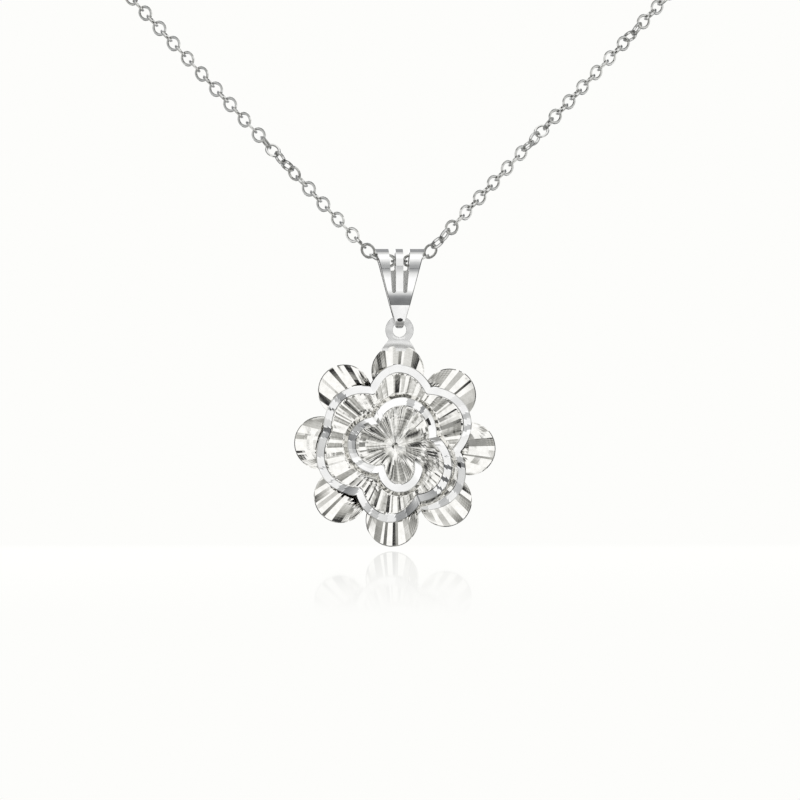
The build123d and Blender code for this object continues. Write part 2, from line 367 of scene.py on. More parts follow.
# Chain wire: drawn, soldered, tumbled and plated, so it is bright with a soft grey edge
wire_silver = silver("tumbled_plated_wire", "#DDDDDB", "#CFCFCD", 0.10, 0.05, 0.5, 0.10, 0.03)
# Bail and ribbon: polished flat sheet, cool white with sharp reflections
polished_silver = silver("polished_plated_sheet", "#F1F1F0", "#EAEAEA", 0.06, 0.03, 0.9, 0.15, 0.008)
# Flutes and petals: cut with a diamond tool, mirror facets with fine tool lines
cut_silver = silver("diamond_cut_plated_sheet", "#F1F0ED", "#E4E3DF", 0.06, 0.05, 0.35, 0.10, 0.02)
# Inside of the bail: no polish reaches it, so it stays an even soft grey behind the slots
fold_silver = silver("unpolished_fold_inside", "#DCDCDA", "#D2D2D0", 0.36, 0.02, 1.2, 0.30, 0.004)
# In the bail's closed foot: painted shade, a dark grey silver so that the oval hole looks dark
painted_shade_silver = silver("painted_shade_foot_inside", "#747474", "#646464", 0.45, 0.05, 0.5, 0.12, 0.02)
# Eyelet: stamped flat and left satin, so that it stays grey and even
satin_silver = silver("satin_stamped_sheet", "#ECECEB", "#E0E0DF", 0.28, 0.05, 0.6, 0.12, 0.03)


def eased(value):
    """A soft step from 0 to 1 with level ends: x squared times 3 - 2x, with x kept between 0 and 1."""
    value = np.clip(value, 0, 1)
    return value * value * (3 - 2 * value)


def unit(ways):
    """Rows of vectors, each made one long."""
    return ways / np.linalg.norm(ways, axis=1)[:, None]


def welded(points, quads):
    """Points in one place become one point, and a quad with two corners in one place a triangle."""
    _, first, same = np.unique(np.round(points, 6), axis=0, return_index=True, return_inverse=True)
    corners = same.ravel()[quads]
    repeated = corners == np.roll(corners, -1, axis=1)
    whole = corners[repeated.sum(axis=1) == 0]
    thin = repeated.sum(axis=1) == 1
    return first, [whole, corners[thin][~repeated[thin]].reshape(-1, 3)]


def walled(front, back, cells):
    """A sheet of metal: its front, its back turned round, and a rim along each open edge."""
    count = len(front)
    edges = [np.c_[c[:, k], np.roll(c, -1, axis=1)[:, k]] for c in cells for k in range(c.shape[1])]
    edges = np.concatenate(edges)
    ahead = edges[:, 0] * count + edges[:, 1]
    behind = edges[:, 1] * count + edges[:, 0]
    rim = edges[~np.isin(behind, ahead)]
    rim_cells = np.c_[rim[:, ::-1], rim + count]
    return np.r_[front, back], [*cells, *[c[:, ::-1] + count for c in cells], rim_cells]


def grid_cells(rows, columns, closed=False):
    """Quads of a grid, its points column by column; a closed one joins its last column to its first."""
    i, j = np.meshgrid(np.arange(columns if closed else columns - 1), np.arange(rows - 1), indexing="ij")
    here = (i * rows + j).ravel()
    there = ((i + 1) % columns * rows + j).ravel()
    return np.c_[here, there, there + 1, here + 1]


def circle(count):
    """Angles evenly round a circle."""
    return np.linspace(0, 2 * np.pi, count, endpoint=False)


def wire_ring(a, b, wire, steps, sides):
    """Round wire bent into an oval, x = a cos f, y = b sin f, its surface r cos g outwards and r sin g up."""
    f, g = circle(steps), circle(sides)
    ring = np.c_[a * np.cos(f), b * np.sin(f)]
    out = unit(np.c_[b * np.cos(f), a * np.sin(f)])
    flat = ring[:, None, :] + out[:, None, :] * (wire / 2 * np.cos(g))[None, :, None]
    height = np.broadcast_to(wire / 2 * np.sin(g), flat.shape[:2])
    i, j = (a.ravel() for a in np.meshgrid(np.arange(steps), np.arange(sides), indexing="ij"))
    i2, j2 = (i + 1) % steps, (j + 1) % sides
    cells = np.c_[i * sides + j, i2 * sides + j, i2 * sides + j2, i * sides + j2]
    return np.concatenate([flat, height[:, :, None]], 2).reshape(-1, 3), cells


def zipped(left, left_keys, right, right_keys):
    """Triangles between two lines of points, taken in the order of their keys."""
    order = np.argsort(np.r_[left_keys[1:], right_keys[1:]], kind="stable")
    on_left = (order < len(left) - 1).astype(int)
    i = np.cumsum(on_left)
    j = np.cumsum(1 - on_left)
    new = np.where(on_left == 1, left[i], right[j])
    return np.c_[left[i - on_left], right[j - (1 - on_left)], new]


def piece(name, made, materials, body, node, crease=None):
    """A mesh over a solid of the frame, from points in mm, cells, and each cell's material where there are
    several. Edges sharper than crease, in degrees, stay sharp; without one all faces are flat."""
    points, cells, *parts = made
    cells = [c for c in cells if len(c)]
    corners = np.concatenate([c.ravel() for c in cells])
    sizes = np.concatenate([np.full(len(c), c.shape[1]) for c in cells])
    mesh = bpy.data.meshes.new(name)
    mesh.vertices.add(len(points))
    mesh.loops.add(len(corners))
    mesh.polygons.add(len(sizes))
    mesh.vertices.foreach_set("co", (points * MM).astype(np.float32).ravel())
    mesh.loops.foreach_set("vertex_index", corners.astype(np.int32))
    mesh.polygons.foreach_set("loop_start", np.r_[0, np.cumsum(sizes)[:-1]].astype(np.int32))
    mesh.polygons.foreach_set("use_smooth", np.full(len(sizes), crease is not None))
    for material in materials:
        mesh.materials.append(material)
    if parts:
        mesh.polygons.foreach_set("material_index", parts[0].astype(np.int32))
    mesh.update(calc_edges=True)
    mesh.validate()
    if crease is not None:
        mesh.set_sharp_from_angle(angle=np.radians(crease))
    thing = placed(name, mesh)
    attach(thing, body)
    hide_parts(node)


def chain_line():
    """The chain's middle line, read from one smooth spline whose control points are the route."""
    curve = bpy.data.curves.new("chain_route", "CURVE")
    curve.dimensions = "3D"
    curve.resolution_u = 64
    spline = curve.splines.new("NURBS")
    spline.points.add(len(chain_route) - 1)
    for point, (x, y, z) in zip(spline.points, chain_route):
        point.co = (x * MM, y * MM, z * MM, 1)
    spline.order_u = 3
    spline.use_endpoint_u = True
    holder = bpy.data.objects.new("chain_route", curve)
    read = bpy.data.meshes.new_from_object(holder)
    line = np.zeros(len(read.vertices) * 3)
    read.vertices.foreach_get("co", line)
    bpy.data.objects.remove(holder)
    bpy.data.meshes.remove(read)
    return line.reshape(-1, 3) / MM


def chain_links():
    """Links along the line: each is an oval of wire at its own distance along it, turned a quarter from the
    one before, plus the twist. The links hang a little askew, and far from the bail they spread a little so
    that the last ones hook the clasp's lugs."""
    line = np.r_[[[-lug_reach, 0, 0]], chain_line(), [[lug_reach, 0, 0]]]
    run = np.r_[0, np.cumsum(np.linalg.norm(np.diff(line, axis=0), axis=1))]
    middle = run[np.argmin(np.abs(line[:, 0]))]
    ends = np.array([-middle, run[-1] - middle])
    counts = np.rint(ends / link_pitch).astype(int)
    number = np.arange(counts[0], counts[1] + 1)
    end = (number > 0).astype(int)
    far = np.clip((np.abs(number * link_pitch) - stretch_start) / (np.abs(ends[end]) - stretch_start), 0, 1)
    along = middle + number * link_pitch + (ends - counts * link_pitch)[end] * far

    def at(distance):
        return np.stack([np.interp(distance, run, line[:, k]) for k in range(3)], 1)

    centre = at(along)
    forward = unit(at(along + link_pitch / 2) - at(along - link_pitch / 2))
    outwards = unit(np.cross(np.array([0.0, 1.0, 0.0]), forward))
    facing = np.cross(forward, outwards)
    turn = np.radians(np.interp(along - middle, *columns(twist_rows)) + 90 * (number % 2))
    turn += np.radians(edge_lean + (face_lean - edge_lean) * np.cos(turn) ** 2)
    turn += np.radians(wobble_lean) * np.sin(number * wobble_step)
    side = outwards * np.cos(turn)[:, None] + facing * np.sin(turn)[:, None]
    up = np.cross(forward, side)
    across = (link_width - link_wire) / 2
    shape, one = wire_ring((link_pitch + link_wire) / 2, across, link_wire, link_steps, wire_steps)
    points = centre[:, None, :]
    for axis, share in zip((forward, side, up), shape.T):
        points = points + axis[:, None, :] * share[None, :, None]
    cells = one[None] + (np.arange(len(number)) * len(shape))[:, None, None]
    return points.reshape(-1, 3), [cells.reshape(-1, 4)]


def clasp():
    """The clasp as one plain piece: a thick ring with a lug ring on each side, all facing the front."""
    lug_centre = clasp_ring_radius + clasp_wire / 2 + lug_ring_radius
    rings = [(clasp_ring_radius, clasp_wire, 0, 64, 20)]
    rings += [(lug_ring_radius, lug_wire, side * lug_centre, 48, 16) for side in (-1, 1)]
    points, cells = np.zeros((0, 3)), []
    for radius, wire, x, steps, sides in rings:
        ring, ring_cells = wire_ring(radius, radius, wire, steps, sides)
        cells.append(ring_cells[:, [0, 3, 2, 1]] + len(points))
        points = np.concatenate([points, ring[:, [0, 2, 1]] + np.array([x, 0, 0])])
    return points, cells


def tangent_tilt(from_centre, from_radius, to_centre, to_radius):
    """Angle of the outward normal of the line that touches two circles on their front side, from the front
    towards the top, in the plane (reach forward, height)."""
    across = np.array(to_centre) - np.array(from_centre)
    return np.arctan2(across[1], across[0]) + np.arccos((from_radius - to_radius) / np.hypot(*across))


def front_plate(start, end):
    """The bail's front from the end of its top bend to the crease: its reach forward is the running sum of
    the tangent of its lean, and the small error at the crease is taken up along the white plate. A third
    column gives how much further forward the tongue between the slots stands."""
    drops, lean, tongue_lean = columns(front_lean)
    drop = np.union1d(np.linspace(-start[1], -end[1], plate_steps), drops[1:-1])

    def reach(leans):
        slope = np.tan(np.radians(np.interp(drop, drops, leans)))
        return start[0] + np.r_[0, np.cumsum(np.diff(drop) * (slope[1:] + slope[:-1]) / 2)]

    plate = reach(lean)
    plate += (end[0] - plate[-1]) * eased((drop - take_up_start) / take_up_run)
    shift = reach(tongue_lean) - plate
    shift -= np.interp(tongue_end, drop, shift) * (drop - drop[0]) / (tongue_end - drop[0])
    return np.c_[plate, -drop, np.where(drop < tongue_end, shift, 0)]


def fold_profile():
    """The bail's fold seen from the side, as points (reach forward, height, shift of the tongue) and outward
    normals, from the back over the top and down the front to the foot, then up the back: arcs round three
    circles, joined by the leaning front plate and by straight plates."""
    top = ((0.0, 0.0), bail_bore + bail_wall)
    crease = ((crease_reach - crease_bend, -crease_drop), crease_bend + bail_wall)
    foot = ((0.0, -bail_drop), foot_bore + bail_wall)
    front = np.arcsin(-front_lean[0][1] / top[1])
    fold = np.radians(front_lean[-1][2])
    knee = tangent_tilt(*crease, *foot)
    back = -tangent_tilt(*top, *foot) - np.pi
    # Each arc's circle, first and last angle, points, and points of the straight plate before it
    arcs = [
        (top, seam_angle, front, 44, 0),
        (crease, fold, knee, 4, 0),
        (foot, knee, back, 64, 20),
        (top, back + 2 * np.pi, seam_angle, 30, 70),
    ]
    line = []
    for number, (((x, y), radius), first, last, steps, straight) in enumerate(arcs):
        angles = np.linspace(first, last, steps)
        arc = np.c_[x + radius * np.cos(angles), y + radius * np.sin(angles), 0 * angles]
        if number == 1:
            line.append(front_plate(line[-1][-1], arc[0])[1:-1])
        elif number > 1:
            line.append(np.linspace(line[-1][-1], arc[0], straight + 2)[1:-1])
        line.append(arc)
    line = np.concatenate(line)
    along = np.roll(line, -1, axis=0) - np.roll(line, 1, axis=0)
    along[-1] = line[-1] - line[-2]
    along[0] = line[1] - line[0]
    return line, unit(np.c_[-along[:, 1], along[:, 0]])


def bail_strip():
    """The strip: at each point of the fold, lines across it at the outer edges, both sides of both slots
    and both sides of the oval hole, each a function of height; cells inside a slot or the hole are left out.
    The outer edges are bevelled. The last array gives each cell's material: polished outside, unpolished
    inside, and painted shade, a dark grey silver, inside the foot and round the oval hole."""
    line, normal = fold_profile()
    height = line[:, 1]
    is_front = line[:, 0] > 0
    half = np.interp(-height, *columns(bail_rows)) / 2
    top = bail_bore + bail_wall
    low = np.where(is_front, top - slot_length, -slot_back_drop)
    outer = slot_top_outer + (slot_bottom_outer - slot_top_outer) * (top - height) / slot_length
    mid = (slot_inner + outer) / 2
    lift = np.clip((height - low) / slot_round, 0, 1)
    gap = (outer - slot_inner) / 2 * np.sqrt(1 - (1 - lift) ** 2)
    below = np.clip((low - height) / slot_spread, 0, 1)
    mid = mid * (1 - below) + spread_share * half * below
    in_slot = height > low + 1e-6
    gap = np.where(in_slot, gap, 0)
    hole = np.sqrt(np.clip(1 - ((height + bail_drop - hole_rise) / (hole_height / 2)) ** 2, 0, None))
    hole = np.where(is_front, hole, 0) * hole_width / 2
    slot = [np.minimum(place, limit * half) for place, limit in zip((mid - gap, mid + gap), slot_limits)]
    marks = np.stack([hole, *slot, half], 1)
    marks = np.c_[-marks[:, ::-1], marks]
    marks[:, [1, 2, 5, 6]] += (slot_shift * (1 - below))[:, None]
    share = np.concatenate([k + np.arange(n) / n for k, n in enumerate((*strip_cells, 1))])
    across = np.stack([np.interp(share, np.arange(len(strip_cells) + 1), row) for row in marks])
    gaps = np.floor(share[:-1]).astype(int)
    edge = np.minimum(bail_edge, bevel_limit * half)
    across[:, 1] = across[:, 0] + edge
    across[:, -2] = across[:, -1] - edge
    n, m = across.shape
    sunk = np.zeros((n, m))
    sunk[:, [0, -1]] = (edge * bail_edge_fall)[:, None]
    shift = np.where((share >= 2) & (share <= 5), line[:, 2:], 0)

    def place(depth):
        reach = line[:, :1] + shift - normal[:, :1] * depth
        up = height[:, None] - normal[:, 1:] * depth
        return np.stack([bail_hinge[0] + across, bail_hinge[1] - reach, bail_hinge[2] + up], 2).reshape(-1, 3)

    cells = grid_cells(m, n, closed=True)
    column = np.tile(gaps, n)
    row = np.repeat(np.arange(n), m - 1)
    ahead = (row + 1) % n
    open_slot = np.isin(column, (1, 5)) & ((gap[row] > 0) | (gap[ahead] > 0) & in_slot[row])
    open_hole = (column == 3) & ((hole[row] > 0) | (hole[ahead] > 0))
    outside = place(sunk)
    inside = place(np.full((n, m), bail_wall))
    first, kept = welded(outside, cells[~(open_slot | open_hole)])
    points, walls = walled(outside[first], inside[first], kept)
    faces = sum(len(c) for c in kept)
    # painted shade: inside cells below this level, and rim cells by the oval hole, take the dark grey silver
    painted_shade_level = bail_hinge[2] - painted_shade_drop
    inner_finish_and_shade = [np.where(inside[first][group].mean(axis=1)[:, 2] < painted_shade_level, 2, 1) for group in kept]
    rim = points[walls[-1]].mean(axis=1)
    by_hole = (rim[:, 2] < painted_shade_level) & (np.abs(rim[:, 0] - bail_hinge[0]) < painted_shade_rim_share * hole_width)
    return points, walls, np.concatenate([np.zeros(faces), *inner_finish_and_shade, np.where(by_hole, 2, 0)])


def flower_points(radius, angle, height):
    """Polar places on the flower, radius in mm and angle in radians from its right side, to world points."""
    across = np.multiply.outer(radius * np.cos(angle), flower_right)
    along = np.multiply.outer(radius * np.sin(angle), flower_up)
    forward = np.multiply.outer(height, np.array([0.0, -1.0, 0.0]))
    return (flower_centre + across + along + forward).reshape(-1, 3)


def petal_height(radius, side):
    """Back petals: flat inside, a smooth rise to a shelf by the rose's edge, then curling forward to the tip
    by the square of the way out, and by the square of side to both edges."""
    rise = np.clip((radius - petal_rise_start) / (petal_shelf_reach - petal_rise_start), 0, 1)
    curl = np.clip((radius - petal_curl_start) / (petal_tip - petal_curl_start), 0, None)
    return petal_level + petal_shelf * eased(rise) + petal_curl * curl**2 + petal_side_cup * side**2 * rise


def divided(edges, counts):
    """Each gap between edges cut into its count of equal parts: all the edges, and each part's own gap."""
    parent = np.repeat(np.arange(len(counts)), counts)
    part = np.arange(len(parent)) - np.repeat(np.cumsum(counts) - counts, counts)
    fine = edges[parent] + (edges[parent + 1] - edges[parent]) * part / counts[parent]
    return np.append(fine, edges[-1]), parent


def cut_heights(widths, tilts, along, across, group):
    """Heights of the edges of a row of cuts. A cut's slope across is the root of its whole slope squared less
    the sheet's own slope along it, up or down, whichever brings the row back to the sheet; the cells of
    one cut share its way. The height is the running sum of width by slope, less the sheet's own. The way
    is chosen on one line, three quarters of the way out."""
    slope = np.sqrt(np.clip(np.tan(np.radians(tilts)) ** 2 - along**2, 0, None))
    line = widths.shape[1] * 3 // 4
    height, ways = 0.0, []
    for cut in range(group[-1] + 1):
        rise, own = (part[group == cut, line].sum() for part in (widths * slope, widths * across))
        way = 1 if abs(height + rise - own) < abs(height - rise - own) else -1
        height += way * rise - own
        ways.append(way)
    run = np.cumsum(widths * (np.array(ways)[group][:, None] * slope - across), axis=0)
    run = np.r_[0 * run[:1], run]
    return run - run.mean(axis=0)


# Petal cuts, one list for each petal clockwise from the top: where each cut starts in degrees clockwise
# from the top of the flower, its tilt from the front at the petal's tip, and its tilt by the rose, where
# that is another
petal_cuts = [
    [(-19, 15.1, 15.5), (-15, 18, 18.8), (-12.5, 18, 20.8), (-10, 18, 16.8), (-7, 21, 15.8), (-6, 10),
     (-1.5, 15.5), (2.5, 17, 20.8), (4.5, 10), (6, 15.1, 15.5), (11, 19, 17.8), (17, 20, 16.8)],
    [(26, 16.8, 16.6), (31, 16, 20.8), (32, 16.8, 16.6), (37, 10), (40.5, 16.5, 16.3), (44, 10),
     (48.8, 21, 18.8), (50.2, 15.1, 10), (54, 16.8, 16.3), (61, 17.5, 17.8)],
    [(71, 17, 16.3), (81, 10, 15.8), (85, 20, 19.8), (85.8, 16.5, 20.8), (90, 10, 20.8), (93, 16.8, 16.3),
     (97, 16.5, 19.8), (98.5, 18.5, 16.3), (104, 16.5, 10)],
    [(116, 20, 18.8), (123, 10, 12), (126, 20, 17.8), (127.5, 16.8, 15.8), (132, 10), (137, 20, 10),
     (141, 10), (145, 18.6, 16.3), (149, 10), (152, 15.1, 18.3), (156, 18, 19.8)],
    [(161, 17, 18.8), (169, 16.5, 16.3), (173, 10), (178, 18, 16.8), (179.5, 20, 20.8), (181.5, 10),
     (185, 20, 18.8), (187, 10), (189, 18.6, 17.8), (193, 10, 15.5), (198, 20, 18.8), (200, 10)],
    [(206, 17, 16.3), (211, 18, 18.8), (215, 21, 15.5), (220, 10), (225, 20, 17.8), (227, 10),
     (230.5, 16.6, 15.8), (233, 10), (234.5, 21, 10), (238, 10), (241, 19, 19.8), (245, 17, 17.8)],
    [(251, 15.5, 15.8), (261, 16.5, 20.8), (264.5, 10), (265.5, 20, 17.8), (267, 10), (274, 16.6, 19.8),
     (276.5, 16.5, 10), (278, 10, 12), (283, 16.8, 16.3), (288, 16.5, 19.8)],
    [(296, 16.5, 15.8), (301, 17.5, 17.8), (305, 10), (311, 16.6, 16.4), (313, 10), (318.5, 21, 17.8),
     (321.5, 10), (324, 16.6, 10), (325, 10), (327.5, 20, 16.3), (331, 10), (333, 15.1, 20.8),
     (335, 20, 15.8)],
]
cut_width = 9.0
cut_spread = 0.3
cut_slant = 0.4
cut_start = 6.3


def petal(number, random):
    """One petal as columns clockwise across it: radius, angle and height of each row. Columns follow the
    edges of the cuts from the peg's hole to a rim inside the petal's circle, with one more row on the circle
    itself, and a last column stands in the valley beside the petal."""
    centre_turn = number * 360 / petal_count + np.degrees(flower_lean)
    half = np.degrees(np.arcsin(petal_radius / petal_circle))
    start, tip_tilt, low_tilt = columns(petal_cuts[number])
    edges = np.append(np.clip(start - centre_turn, -half, half), half)
    edges[0] = -half
    edges, parent = divided(edges, np.ceil(np.diff(edges) / cut_width).astype(int))
    tip_tilt, low_tilt = (
        tilt[parent] + random.uniform(-cut_spread, cut_spread, len(parent)) for tilt in (tip_tilt, low_tilt)
    )
    offset = np.radians(edges)
    around = offset + np.arcsin(np.clip(petal_circle * np.sin(offset) / petal_radius, -1, 1))
    counts = np.ceil(np.degrees(np.diff(around)) / petal_column_step).astype(int)
    gaps = np.diff(offset)
    slant = random.uniform(-cut_slant, cut_slant, len(edges))
    slant *= np.minimum(np.append(gaps, 0), np.append(0, gaps))
    slant = np.append(divided(slant, counts)[0], 0)
    around, group = divided(around, counts)
    valley_turn = np.pi / petal_count
    valley = petal_circle * np.cos(valley_turn) - valley_depth

    def outline(size, depth):
        x = petal_circle + size * np.cos(around)
        y = size * np.sin(around)
        return np.append(np.hypot(x, y), depth), np.append(np.arctan2(y, x), valley_turn)

    rim, turn = outline(petal_radius - petal_rim, valley - petal_rim)
    radius = peg_hole + (rim[:, None] - peg_hole) * petal_rows
    turns = turn[:, None] + slant[:, None] * np.clip((petal_tip - radius) / (petal_tip - cut_start), 0, 1)
    height = petal_height(radius, np.abs(turns) / valley_turn)
    r, t = (radius[1:-1] + radius[:-2]) / 2, (turns[1:-1] + turns[:-2]) / 2
    s = np.abs(t) / valley_turn
    dr, ds = 0.05, 0.02
    along = (petal_height(r + dr, s) - petal_height(r - dr, s)) / (2 * dr)
    across = np.sign(t) * (petal_height(r, s + ds) - petal_height(r, s - ds)) / (2 * ds * r * valley_turn)
    reach = np.clip((r - cut_start) / (petal_tip - cut_start), 0, 1)
    tilts = low_tilt[group][:, None] * (1 - reach) + tip_tilt[group][:, None] * reach
    relief = cut_heights(r * np.diff(turns[:-1], axis=0), tilts, along, across, group)
    height[:-1] += relief * np.interp(petal_rows, petal_fade, (0, 1))
    height[:, 0] = petal_level
    rim, turn = outline(petal_radius - petal_inset, valley)
    height = np.c_[height, height[:, -1] - petal_rim_drop]
    return np.c_[radius, rim], np.pi / 2 - number * 2 * np.pi / petal_count - np.c_[turns, turn], height


def petals():
    """Eight petals side by side on one closed grid, with a back one wall behind."""
    random = np.random.default_rng(7)
    made = [petal(number, random) for number in range(petal_count)]
    radius, angle, height = (np.concatenate(parts) for parts in zip(*made))
    front = flower_points(radius, angle, height)
    cells = grid_cells(radius.shape[1], len(radius), closed=True)
    return walled(front, front + np.array([0, petal_wall, 0]), [cells])


def eyelet():
    """Flat ring with a neck that runs down into the top petal: polar about the ring's centre, from the
    hole to the ring's edge, or to the neck's sides and end where a ray passes through the neck. The last
    array marks the cells inside the bail's foot, which get the dark grey silver of painted shade."""
    phi = circle(eyelet_columns)
    down = np.abs((phi - 1.5 * np.pi + np.pi) % (2 * np.pi) - np.pi)
    ring = eyelet_hole + eyelet_bar
    neck_end = ring + eyelet_standoff + neck_reach
    corner = np.arctan2(neck_half, neck_end)
    fillet = np.clip((neck_fillet_end - down) / (neck_fillet_end - corner), 0, 1) ** neck_fillet_power
    fillet = ring + (np.hypot(neck_half, neck_end) - ring) * fillet
    outline = np.where(down < corner, neck_end / np.cos(np.minimum(down, corner)), fillet)
    shares = np.array(eyelet_rows)
    away = eyelet_hole + (outline - eyelet_hole)[:, None] * shares
    x = away * np.cos(phi)[:, None]
    y = flower_reach + away * np.sin(phi)[:, None]
    edge = np.where((shares == 0) | (shares == 1), eyelet_bevel, 0)
    radius = np.hypot(x, y)
    petal = petal_height(radius, np.abs(np.arctan2(x, y)) / (np.pi / petal_count)) + neck_lift
    sink = eased((petal_tip + neck_sink_start - radius) / neck_sink_run)
    height = (eyelet_thickness / 2 - edge) * (1 - sink) + petal * sink
    front = flower_points(radius, np.arctan2(y, x), height)
    thick = np.broadcast_to(eyelet_thickness - 2 * edge, radius.shape).ravel()
    back = front + np.multiply.outer(thick, np.array([0, 1.0, 0]))
    points, walls = walled(front, back, [grid_cells(len(shares), len(phi), closed=True)[:, ::-1]])
    middle = np.concatenate([points[group].mean(axis=1) for group in walls]) - flower_hinge
    # painted shade: the eyelet's cells behind the bail's foot take the dark grey silver
    in_foot = (np.abs(middle[:, 0]) < painted_shade_half) & (middle[:, 2] > -eyelet_bar / 2 - painted_shade_margin)
    return points, walls, in_foot


def ribbon_radius(turn):
    """Lobes, the odd rows, are round and notches sharp: a quarter sine up to each lobe and down again."""
    turns, shares = columns(ribbon_rows)
    shares *= rose_radius
    k = np.clip(np.searchsorted(turns, turn) - 1, 0, len(turns) - 2)
    part = np.clip((turn - turns[k]) / (turns[k + 1] - turns[k]), 0, 1)
    blend = np.where(k % 2 == 1, 1 - np.cos(part * np.pi / 2), np.sin(part * np.pi / 2))
    return shares[k] + (shares[k + 1] - shares[k]) * blend


def rose_floor(radius, turn):
    """The floor is a cup, 1 - exp(-r / spread), that drops with each turn outside the first ribbon."""
    settle = eased((radius / rose_radius - turn_drop_start) / turn_drop_run)
    return rose_level + rose_cup * (1 - np.exp(-radius / rose_cup_spread)) - turn_drop * turn / 360 * settle


# Ribbon cuts: where each starts, in degrees along the spiral, and the tilt of the ribbon's inner half, and of
# its outer half where that is another
ribbon_cuts = [
    (0, 4.8), (84, 5, 8), (103, 4.2, 5), (121, 2.8, 3.2), (127, 5, 6), (133, 3.6, 4.2), (139, 2.8, 3.4),
    (145, 2.3, 3), (156, 1), (164, 2.5), (167, 1.4, 1.6), (169.5, 2.7), (177, 2, 2.4), (181, 20.5, 2.3),
    (188, 4.8), (199, 20.5, 4), (206, 5, 6), (210, 2.9, 3.4), (216, 8, 6), (253, 2.7, 2.9), (263, 5),
    (272, 1.8, 1.4), (278, 3.7, 4), (287, 21, 4.6), (298, 4.6, 4.2), (310, 4.8), (320, 2), (328, 4.8),
    (340, 1.5), (341.5, 4.8), (349, 1.4), (353, 4.8), (361, 1.4), (366, 4.8), (372, 1.6), (375, 4.8),
    (378, 1.9, 2.1), (399, 1.5, 1.8), (411, 2.7), (419, 4.6), (425, 4), (433, 2.9, 3.1), (439, 4.3),
    (441, 2.5), (446, 4.8), (458, 1.9, 2.1), (469, 3), (473, 4.8), (479, 3), (480.5, 4.8), (492, 3),
    (493.5, 4.8), (501, 3.5), (515, 2, 2.3), (520, 1.3), (524, 3.7), (530, 4.8), (538, 20.5), (540, 4.8),
    (545, 3), (549, 2, 2.3), (555, 4.8), (593, 4.6), (594.5, 4.8), (608, 4.6), (609.5, 4.8), (649, 4.2),
    (658, 4.8), (663.5, 2.9, 3.1), (669, 4.8), (673, 2.6, 2.8), (677, 7), (681, 4.5), (691, 4.8), (699, 3.1),
    (703, 20, 2), (708, 3.7), (720, 3.1), (727, 4.5, 4.7), (734, 2.9, 3.1), (742, 4.5), (751, 3.3),
]

# Flute cuts that stand out, by their place on the flower: start and end in degrees along the spiral, tilt by
# the hub or riser, and by the ribbon where that is another
flute_accents = [
    ("inner lower left", [(73, 84, 21, 24), (121, 131, 22, 27)]),
    ("inner left", [(143, 147, 30), (157, 161, 30), (161, 169, 27, 23.5), (180, 186, 27, 23)]),
    ("inner top", [(249, 255, 26, 30), (256, 265, 25.5), (267, 271, 30)]),
    ("inner right", [(287, 309, 22, 26), (313, 316, 30)]),
    ("outer foot", [(417, 421, 10), (422.5, 424.5, 10), (425, 427, 18.5, 19)]),
    ("outer low", [
        (434, 437, 10, 15), (437, 440, 18, 20), (464, 468, 19, 18), (470, 475, 10), (476, 481, 19, 18.5),
        (484, 487, 10),
    ]),
    ("outer left", [
        (488, 492, 18.5, 20), (493, 498, 10), (499, 502, 20, 19), (503, 507, 10), (507, 512, 19, 18.5),
        (512, 515, 10), (516, 522, 16.5, 16.8), (523, 524.5, 16, 10), (528, 531, 10, 12),
        (533.5, 535, 19, 18), (538, 540, 10), (543, 546, 18.5, 20), (546, 548, 10), (549, 551.5, 20, 18.5),
        (553, 554.5, 18.5, 19),
    ]),
    ("outer upper", [(560, 567, 10), (568, 571, 20, 16.5), (581, 585, 15)]),
    ("outer top", [
        (593, 597, 10), (598, 602.5, 21, 18), (608, 611, 15, 10), (625, 627, 19, 17), (633, 637, 15, 9),
    ]),
    ("outer right", [
        (642, 645, 18.5, 18), (651, 653, 18.5, 17), (658, 661, 15, 10), (671, 677, 16.8, 21), (680, 683, 10),
        (702, 706, 18, 21), (713, 718, 10, 15),
    ]),
]
flute_tilts = [10.0, 15.2, 16.4, 17.2, 18.2, 19.5]
flute_shares = [0.14, 0.22, 0.24, 0.22, 0.12, 0.06]
flute_widths = [0.45, 0.4, 0.15]
even_share = 0.6
flute_ripple = 0.5
steep_turn = 360
steep_sum = 42.3


def flute_cells(turn, random):
    """Tilt of each floor cell between two columns, by the hub and by the ribbon, and which cut the cell is
    part of: cuts one to three columns wide with seeded tilts, then the ones that stand out."""
    widths = random.choice([1, 2, 3], len(turn), p=flute_widths)
    group = np.repeat(np.arange(len(turn)), widths)[: len(turn) - 1]
    low = random.choice(flute_tilts, len(turn), p=flute_shares)
    even = random.random(len(turn)) < even_share
    high = np.where(even, low, random.choice(flute_tilts, len(turn), p=flute_shares))
    steep = (turn < steep_turn)[:-1]
    low, high = (np.where(steep, steep_sum - tilt[group], tilt[group]) for tilt in (low, high))
    place = (turn[:-1] + turn[1:]) / 2
    cuts = columns([cut for _, cuts in flute_accents for cut in cuts]).T
    for number, (start, end, low_tilt, high_tilt) in enumerate(cuts):
        inside = (place > start) & (place < end)
        low[inside], high[inside] = low_tilt, high_tilt
        group[inside] = len(turn) + number
    return low, high, np.cumsum(np.diff(group, prepend=group[0]) != 0)


